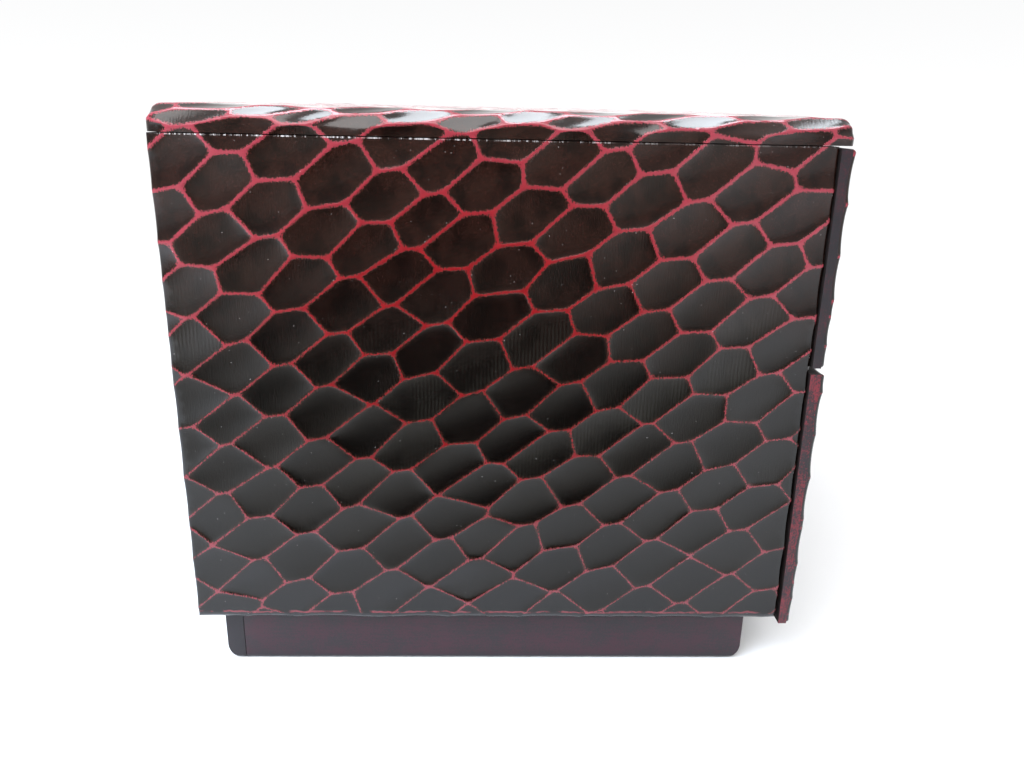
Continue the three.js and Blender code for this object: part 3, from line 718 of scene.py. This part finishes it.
def side_piece(name, sign):
    """One carved side. sign is -1 on the left and 1 on the right."""
    region = (0, SIDE_DEPTH, 0, SIDE_HEIGHT) if sign < 0 else (0, SIDE_DEPTH, -GIRTH - SIDE_HEIGHT, -GIRTH)
    foot_line = region[3] if sign < 0 else region[2]

    def above_foot(v):
        return SIDE_HEIGHT - v if sign < 0 else v + GIRTH + SIDE_HEIGHT

    def edge_depth(u, v):
        return np.maximum(rounded(np.minimum(u, SIDE_DEPTH - u), UPRIGHT_EASE), rounded(above_foot(v), FOOT_EASE))

    def place(u, v, depth):
        return np.stack([sign * (HALF_WIDTH - depth), REAR - u, SIDE_FOOT + above_foot(v)], axis=1)

    def closing(mesh, border):
        inner_x = sign * (HALF_WIDTH - SIDE_THICKNESS)
        corners = [(inner_x, y, SIDE_FOOT + above_foot(v)) for y in (REAR, SIDE_FRONT) for v in region[2:]]
        return flat_faces(mesh, border, corners, Vector((-sign, 0, 0)), 1)

    carved_piece(
        f"carved_{name}", name, Carving(region, WRAP_SEED),
        both_ends(0, SIDE_DEPTH, UPRIGHT_EASE), rounding_lines(foot_line, FOOT_EASE, sign),
        edge_depth, place, lambda u, v: np.stack([v, u], axis=1), closing, board_finishes(),
    )


def climbed(v):
    """How far a line on the top board is from the seam below it, over the arris."""
    return np.minimum(-v, GIRTH + v)


def over_arris(v):
    return np.sin(math.pi / 2 * np.clip((climbed(v) - BAND) / ARC, 0, 1))


def unstretched(v):
    """Girth in real millimetres, for the lacquer's pattern."""
    climb = climbed(v)
    over = np.clip(climb - BAND, 0, ARC)
    real = climb - over * (1 - 1 / ARRIS_STRETCH)
    return np.where(-v > GIRTH / 2, real - 2 * HALF_WIDTH - 40, -real)


def top_stretch(v):
    climb = climbed(v)
    return np.where((climb > BAND) & (climb < BAND + ARC), ARRIS_STRETCH, 1.0)


def top_place(u, v, depth):
    climb = climbed(v)
    side = np.where(-v > GIRTH / 2, 1.0, -1.0)
    angle = math.pi / 2 * np.clip((climb - BAND) / ARC, 0, 1)
    across = HALF_WIDTH - ARRIS - np.maximum(0, climb - BAND - ARC)
    reach = ARRIS - depth
    x = side * (across + reach * np.cos(angle))
    z = TOP_SURFACE - ARRIS + reach * np.sin(angle) - np.maximum(0, BAND - climb)
    return np.stack([x, REAR - u, z], axis=1)


def top_piece():
    """The carved top board, with its scoops running over both arrises."""
    region = (0, TOP_DEPTH, -GIRTH, 0)
    climbs = [BAND + ARC * k / 12 for k in range(13)]

    def edge_depth(u, v):
        radius = TOP_FOOT_EASE + (TOP_END_EASE - TOP_FOOT_EASE) * over_arris(v)
        fall = rounded(np.minimum(u, TOP_DEPTH - u), radius)
        return np.minimum(fall, ARRIS - bpy.context.scene.chest_carving.depth)

    def closing(mesh, border):
        yield border["u0"], Vector(), 1
        yield border["u1"], Vector(), 1
        yield [*border["v1"], *reversed(border["v0"])], Vector(), 2

    carved_piece(
        "carved_top_board", "top_board", Carving(region, WRAP_SEED, stretch_at=top_stretch),
        both_ends(0, TOP_DEPTH, TOP_END_EASE),
        sorted([-climb for climb in climbs] + [climb - GIRTH for climb in climbs]),
        edge_depth, top_place, lambda u, v: np.stack([unstretched(v), u], axis=1), closing, board_finishes(),
    )


def front_piece(which):
    """One carved drawer front."""
    low, high = box_mm(f"{which}_front")
    plate_low, plate_high = box_mm(f"{which}_pull_plate")
    plate = np.array([HALF_WIDTH, SIDE_TOP - (plate_low.z + plate_high.z) / 2])
    radius = (plate_high.x - plate_low.x) / 2
    region = (0, 2 * HALF_WIDTH, SIDE_TOP - high.z, SIDE_TOP - low.z)
    face, back, ease = high.y - FRONT_THICKNESS, high.y, FRONT_EASE
    share, contrast, worn, lean = (0.1, 1.0, 0.3, 0.2) if which == "upper" else (0.5, 2.6, 0.7, 0.7)

    def edge_depth(u, v):
        across = np.clip(ease - np.minimum(u, region[1] - u), 0, ease)
        down = np.clip(ease - np.minimum(v - region[2], region[3] - v), 0, ease)
        return ease - np.sqrt(ease**2 - np.minimum(np.hypot(across, down), ease) ** 2)

    def place(u, v, depth):
        return np.stack([u - HALF_WIDTH, face + depth, SIDE_TOP - v], axis=1)

    def closing(mesh, border):
        inner = ((back + lean, high.z), (back, low.z))
        corners = [(x, *line) for x in (-HALF_WIDTH, HALF_WIDTH) for line in inner]
        return flat_faces(mesh, border, corners, Vector((0, 1, 0)), 2)

    carved_piece(
        f"carved_{which}_front", f"{which}_front", Carving(region, FRONT_SEED, [(plate, radius + 1, 3.0)]),
        both_ends(*region[:2], ease), both_ends(*region[2:], ease),
        edge_depth, place, lambda u, v: np.stack([u, v], axis=1), closing,
        [
            carved_lacquer("carved_lacquer"),
            rubbed_lacquer(f"{which}_front_edge", share, "Z", contrast, worn, ("Y", face - 0.2, back + 3)),
            # Matt black lacquer, which is also painted shade: it keeps the gaps between and behind the fronts dark
            black_lacquer("matt_lacquer", "X", 0.4),
        ],
    )


# Plain boards

def eased_copy(node, ease, finish):
    """The node's own form with its edges eased."""
    mesh = bmesh.new()
    mesh.from_mesh(frame["nodes"][node].data)
    bmesh.ops.remove_doubles(mesh, verts=mesh.verts, dist=WELD)
    bmesh.ops.dissolve_limit(mesh, angle_limit=math.radians(1), verts=mesh.verts, edges=mesh.edges)
    sharp = [edge for edge in mesh.edges if edge.is_manifold and edge.calc_face_angle(0) > math.radians(40)]
    bmesh.ops.bevel(mesh, geom=sharp, offset=ease * MM, segments=3, profile=0.6, affect="EDGES", clamp_overlap=True)
    for face in mesh.faces:
        face.smooth = True
    make_piece(f"eased_{node}", mesh, [finish], node)


# Pulls

def joined(mesh, pairs):
    """Faces between pairs of rings."""
    for first, second in pairs:
        for k in range(len(first)):
            following = (k + 1) % len(first)
            mesh.faces.new([first[k], first[following], second[following], second[k]]).smooth = True


def turned(mesh, profile, centre, steps=64):
    """A form turned about an axis along Y. profile lists radius and distance out from the front."""
    turns = [2 * math.pi * k / steps for k in range(steps)]
    rings = [
        [mesh.verts.new((centre + Vector((radius * math.cos(t), -out, radius * math.sin(t)))) * MM) for t in turns]
        for radius, out in profile
    ]
    joined(mesh, zip(rings, [*rings[1:], rings[0]]))


def swept(mesh, path, normal, radius_at, closed, sides=14):
    """Round wire along a path that lies in a plane with the given normal."""
    count = len(path)
    rings = []
    for k, point in enumerate(path):
        before = path[k - 1] if closed or k else point
        after = path[(k + 1) % count] if closed or k < count - 1 else point
        across = (after - before).normalized().cross(normal).normalized()
        radius = radius_at(k / count)
        rings.append([
            mesh.verts.new((point + radius * (math.cos(t) * across + math.sin(t) * normal)) * MM)
            for t in (2 * math.pi * n / sides for n in range(sides))
        ])
    joined(mesh, zip(rings, [*rings[1:], rings[0]] if closed else rings[1:]))
    if not closed:
        for ring in (rings[0], rings[-1]):
            mesh.faces.new(ring).smooth = True


def arc(centre, radius, start, end, count):
    for k in range(count + 1):
        turn = start + (end - start) * k / count
        yield centre[0] + radius * math.cos(turn), centre[1] + radius * math.sin(turn)


def metal_piece(name, mesh, node):
    bmesh.ops.recalc_face_normals(mesh, faces=mesh.faces)
    make_piece(name, mesh, [dark_bronze("dark_bronze")], node)


def plate_piece(which, centre, radius, thick):
    """A round plate: a rolled rim, a groove and a dome with a hole for the pin."""
    foot, crown, bore = radius - 1.2, 1.75, 1.3
    rim = [(radius - 0.1, 0), (radius, 0.1), (radius, 0.42), (radius - 0.12, 0.52), (radius - 0.6, 0.56)]
    groove = [(radius - 0.75, 0.46), (radius - 0.95, 0.6)]
    radii = [foot * (1 - k / 10) + crown * k / 10 for k in range(11)]
    dome = [(r, 0.62 + (thick - 0.66) * math.sin(math.pi / 2 * (foot - r) / (foot - crown))) for r in radii]
    hole = [(1.5, thick - 0.02), (1.34, thick - 0.12), (bore, thick - 0.3)]
    mesh = bmesh.new()
    turned(mesh, [(bore, 0), *rim, *groove, *dome, *hole], centre)
    metal_piece(f"{which}_plate", mesh, f"{which}_pull_plate")


def pin_piece(which, centre):
    """A split pin: an eye in front of the plate and two legs that are bent over behind the front."""
    low, high = box_mm(f"{which}_pull_pin")
    wire, loop, bend, apart, shoulder = 0.5, 2.0, 1.0, 0.55, 1.0
    inside = high.y - centre.y - wire
    eye = centre.y - low.y - loop - wire
    leg = (high.z - low.z) / 2
    neck = apart + shoulder
    to_neck = math.sqrt((loop + shoulder) ** 2 - neck**2)
    meet = math.atan2(neck, to_neck)
    upper = [(inside, leg - 2), (inside, leg - 4)]
    upper += arc((inside - bend, apart + bend), bend, 0, -math.pi / 2, 8)
    upper += [(inside * 0.6, apart), (inside * 0.2, apart)]
    upper += arc((to_neck - eye, neck), shoulder, -math.pi / 2, meet - math.pi, 7)
    around = list(arc((-eye, 0), loop, meet, 2 * math.pi - meet, 40))[1:-1]
    outline = [(inside, leg)] + upper + around + [(out, -up) for out, up in reversed(upper)] + [(inside, -leg)]
    mesh = bmesh.new()
    swept(mesh, [centre + Vector((0, out, up)) for out, up in outline], Vector((1, 0, 0)), lambda share: wire, False)
    metal_piece(f"{which}_pin", mesh, f"{which}_pull_pin")


def ring_piece(which):
    """A round ring, a little thinner where fingers have worn it."""
    low, high = box_mm(f"{which}_pull_ring")
    wire = (high.y - low.y) / 2
    radius = (high.x - low.x) / 2 - wire
    turns = [math.pi / 2 + 2 * math.pi * k / 96 for k in range(96)]
    path = [(low + high) / 2 + Vector((radius * math.cos(turn), 0, radius * math.sin(turn))) for turn in turns]
    mesh = bmesh.new()
    swept(mesh, path, Vector((0, 1, 0)), lambda share: wire * (0.92 + 0.08 * math.cos(4 * math.pi * share)), True)
    metal_piece(f"{which}_ring", mesh, f"{which}_pull_ring")


def pull_pieces(which):
    """Plate, split pin and ring of one drawer."""
    low, high = box_mm(f"{which}_pull_plate")
    centre = Vector((0, high.y, (low.z + high.z) / 2))
    plate_piece(which, centre, (high.x - low.x) / 2, high.y - low.y)
    pin_piece(which, centre)
    ring_piece(which)


# Stage

CAMERA_LENS = 29.53
CAMERA_TURN = (-2.01, 18.353, 1.292)  # degrees to the left, downwards and leaning left
CAMERA_PLACE = (250.26, 3.08, 9.5)  # millimetres out from the left side, back from its middle and above its top


def stage_object(name, mesh, material):
    data = bpy.data.meshes.new(name)
    mesh.to_mesh(data)
    mesh.free()
    data.materials.append(material)
    item = bpy.data.objects.new(name, data)
    bpy.context.scene.collection.objects.link(item)
    return item


def pale_floor(stage):
    mix = Recipe("pale_floor")
    cloud = mix.noise(mix.place(), 6.0, 3)
    colour = mix.mix(cloud, stage.floor, dimmed(stage.floor, 0.97))
    mesh = bmesh.new()
    bmesh.ops.create_grid(mesh, x_segments=8, y_segments=8, size=12)
    floor = stage_object("floor", mesh, mix.finish(colour, 0.75, mix.bump(cloud, 0.2), IOR=1.3))
    floor.location.z = -0.0002


def pale_room(stage):
    """Light from a room that is pale overhead and has a bright far wall. The camera sees plain paper instead."""
    mix = Recipe("pale_room", "World")
    direction = mix.parts(mix.node("ShaderNodeTexCoord").outputs["Generated"])
    overhead = mix.step(direction["Z"], 0.1, 0.95, stage.room, stage.ceiling)
    far_wall = mix.step(direction["X"], 0.5, 0.97, 0.0, stage.far_wall)
    fade = mix.node("ShaderNodeMapRange", {0: direction["Z"], 1: 0.0, 2: 0.12, 3: 1.03, 4: 0.96}).outputs[0]
    room = mix.glow((0.96, 0.96, 0.97), mix.plus(overhead, far_wall))
    paper = mix.glow((0.995, 0.997, 1.0), fade)
    in_camera = mix.node("ShaderNodeLightPath").outputs["Is Camera Ray"]
    bpy.context.scene.world = mix.show(mix.blend(in_camera, room, paper))


def area_light(name, place, target, size, power, colour=(1, 1, 1)):
    data = bpy.data.lights.new(name, "AREA")
    data.shape = "RECTANGLE"
    data.size, data.size_y = size
    data.energy = power
    data.color = colour
    light = bpy.data.objects.new(name, data)
    light.location = place
    light.rotation_euler = (Vector(target) - Vector(place)).to_track_quat("-Z", "Y").to_euler()
    bpy.context.scene.collection.objects.link(light)
    return light


def lamps(stage):
    area_light("soft_window", (-0.73, 0.1, 0.73), (-0.125, 0, 0.18), (0.5, 0.5), stage.key_power)
    lamp = area_light("lamp", (-0.16, 0, 1.15), (-0.16, 0, 0), (0.5, 0.9), stage.lamp_power, (0.86, 0.93, 1))
    lamp.visible_diffuse = False
    side = area_light("side_window", (-0.95, 0.8, 0.35), (-0.125, 0, 0.1), (1.0, 0.8), stage.side_power, (0.8, 0.9, 1))
    low = area_light("low_lamp", (-0.35, 0.35, 0.5), (-0.2, 0.14, 0), (0.4, 0.4), stage.pool_power, (0.72, 0.83, 1))
    side.visible_glossy = low.visible_glossy = False


def dark_cloth():
    """A dark sheet that only the lacquer mirrors, a painted shadow: it lies on the floor as the shadow in front of the
    chest, rises as the dark behind the camera and thins out towards its edges.
    """
    mix = Recipe("dark_cloth")
    place = mix.place()
    sheet_mottle = mix.noise(place, 900.0, 2)
    coat = mix.coat(mix.mix(sheet_mottle, (0.004, 0.004, 0.004), (0.007, 0.006, 0.006)), 0.9, mix.bump(sheet_mottle, 0.05), IOR=1.3)
    x, y, z = mix.parts(place)[:3]
    middle = HALF_WIDTH * MM + 0.315
    thin = mix.step(mix.away_from_middle((mix.minus(z, x), middle, 0.19), (y, 0.035, 0.16)), 0.4, 1.7)
    tint = mix.mix(thin, (1.0, 0.94, 0.77), (1.0, 1.0, 1.0))
    clear = mix.node("ShaderNodeBsdfTransparent", {0: tint}).outputs[0]
    mesh = bmesh.new()
    rows = []
    for out, up in ((0.05, 0.001), (0.18, 0.001), (0.3, 0.001), (0.3, 0.15), (0.3, 0.34)):
        rows.append([mesh.verts.new((-out - HALF_WIDTH * MM, y, up)) for y in (-0.27, 0.31)])
    for lower, upper in zip(rows, rows[1:]):
        mesh.faces.new([*lower, *reversed(upper)])
    shade_sheet = stage_object("dark_cloth", mesh, mix.show(mix.blend(thin, coat, clear)))
    shade_sheet.visible_camera = shade_sheet.visible_diffuse = shade_sheet.visible_shadow = False


def photo_camera(scene):
    """The camera stands where the photograph was taken."""
    data = bpy.data.cameras.new("camera")
    data.sensor_width = 36
    data.lens = CAMERA_LENS
    data.clip_start = 0.01
    yaw, pitch, roll = (math.radians(value) for value in CAMERA_TURN)
    forward = Vector((math.cos(pitch) * math.cos(yaw), math.cos(pitch) * math.sin(yaw), -math.sin(pitch)))
    right = Vector((math.sin(yaw), -math.cos(yaw), 0))
    up = right.cross(forward)
    right, up = math.cos(roll) * right + math.sin(roll) * up, math.cos(roll) * up - math.sin(roll) * right
    away, along, above = CAMERA_PLACE
    place = Vector((-HALF_WIDTH - away, (REAR + SIDE_FRONT) / 2 + along, SIDE_TOP + above)) * MM
    camera = bpy.data.objects.new("camera", data)
    camera.matrix_world = Matrix.Translation(place) @ Matrix((right, up, -forward)).transposed().to_4x4()
    scene.collection.objects.link(camera)
    scene.camera = camera
    scene.view_settings.view_transform = "Standard"


# Operators

class CHEST_OT_stage(bpy.types.Operator):
    """Set the pale floor, the soft light and the camera"""

    bl_idname = "chest.stage"
    bl_label = "Stage"

    def execute(self, context):
        stage = context.scene.chest_stage
        pale_floor(stage)
        pale_room(stage)
        lamps(stage)
        # A painted shadow, seen only in the lacquer's reflections
        dark_cloth()
        photo_camera(context.scene)
        return {"FINISHED"}


class CHEST_OT_boards(bpy.types.Operator):
    """Carve and lacquer the top and the two sides"""

    bl_idname = "chest.boards"
    bl_label = "Carved Boards"

    def execute(self, context):
        side_piece("left_side", -1)
        side_piece("right_side", 1)
        top_piece()
        return {"FINISHED"}


class CHEST_OT_fronts(bpy.types.Operator):
    """Carve and lacquer the drawer fronts"""

    bl_idname = "chest.fronts"
    bl_label = "Drawer Fronts"

    def execute(self, context):
        front_piece("upper")
        front_piece("lower")
        return {"FINISHED"}


class CHEST_OT_case(bpy.types.Operator):
    """Ease and lacquer the back, the bottom, the shelf and the plinth"""

    bl_idname = "chest.case"
    bl_label = "Case Boards"

    def execute(self, context):
        for node in ("back_panel", "bottom_board", "divider_shelf"):
            eased_copy(node, 0.3, black_lacquer("black_lacquer_wide", "X"))
        low, high = box_mm("plinth_left_rail")
        # The dark top and foot of the plinth rails are partly painted shade, under the case's overhang and along the
        # rounded foot
        dark = ("Z", low.z, high.z)
        for side in ("left", "right"):
            eased_copy(f"plinth_{side}_rail", 0.35, rubbed_lacquer("plinth_lacquer", 0.65, "Y", 1.4, 0.14, dark))
        for end in ("front", "back"):
            eased_copy(f"plinth_{end}_rail", 0.35, rubbed_lacquer("plinth_end_lacquer", 0.1, "X", 0.8, 0.1, dark))
            for side in ("left", "right"):
                eased_copy(f"plinth_block_{end}_{side}", 0.3, bare_softwood("bare_softwood"))
        return {"FINISHED"}


class CHEST_OT_trays(bpy.types.Operator):
    """Ease and lacquer the drawer boxes"""

    bl_idname = "chest.trays"
    bl_label = "Drawer Boxes"

    def execute(self, context):
        grains = {"left": "Y", "right": "Y", "front": "X", "back": "X", "floor": "X"}
        for which in ("upper", "lower"):
            for wall, grain in grains.items():
                lacquer = black_lacquer(f"black_lacquer_{grain.lower()}", grain)
                eased_copy(f"{which}_box_{wall}", 0.25, lacquer)
        return {"FINISHED"}


class CHEST_OT_pulls(bpy.types.Operator):
    """Make the ring pulls"""

    bl_idname = "chest.pulls"
    bl_label = "Ring Pulls"

    def execute(self, context):
        pull_pieces("upper")
        pull_pieces("lower")
        return {"FINISHED"}


class CHEST_PT_panel(bpy.types.Panel):
    """Sizes, colours and pieces of the chest"""

    bl_label = "Lacquer Chest"
    bl_space_type = "VIEW_3D"
    bl_region_type = "UI"
    bl_category = "Chest"

    def draw(self, context):
        scene = context.scene
        for settings in (scene.chest_carving, scene.chest_lacquer, scene.chest_stage):
            column = self.layout.column(align=True)
            for key in settings.bl_rna.properties.keys():
                if key not in ("rna_type", "name"):
                    column.prop(settings, key)
        for operator in OPERATORS:
            self.layout.operator(operator.bl_idname)


OPERATORS = (CHEST_OT_stage, CHEST_OT_boards, CHEST_OT_fronts, CHEST_OT_case, CHEST_OT_trays, CHEST_OT_pulls)
CLASSES = (CarvingSettings, LacquerSettings, StageSettings, *OPERATORS, CHEST_PT_panel)


def register():
    for entry in CLASSES:
        bpy.utils.register_class(entry)
    bpy.types.Scene.chest_carving = PointerProperty(type=CarvingSettings)
    bpy.types.Scene.chest_lacquer = PointerProperty(type=LacquerSettings)
    bpy.types.Scene.chest_stage = PointerProperty(type=StageSettings)


def unregister():
    del bpy.types.Scene.chest_carving
    del bpy.types.Scene.chest_lacquer
    del bpy.types.Scene.chest_stage
    for entry in reversed(CLASSES):
        bpy.utils.unregister_class(entry)


def main():
    register()
    bpy.ops.chest.stage()
    bpy.ops.chest.boards()
    bpy.ops.chest.fronts()
    bpy.ops.chest.case()
    bpy.ops.chest.trays()
    bpy.ops.chest.pulls()


if __name__ == "__main__":
    main()
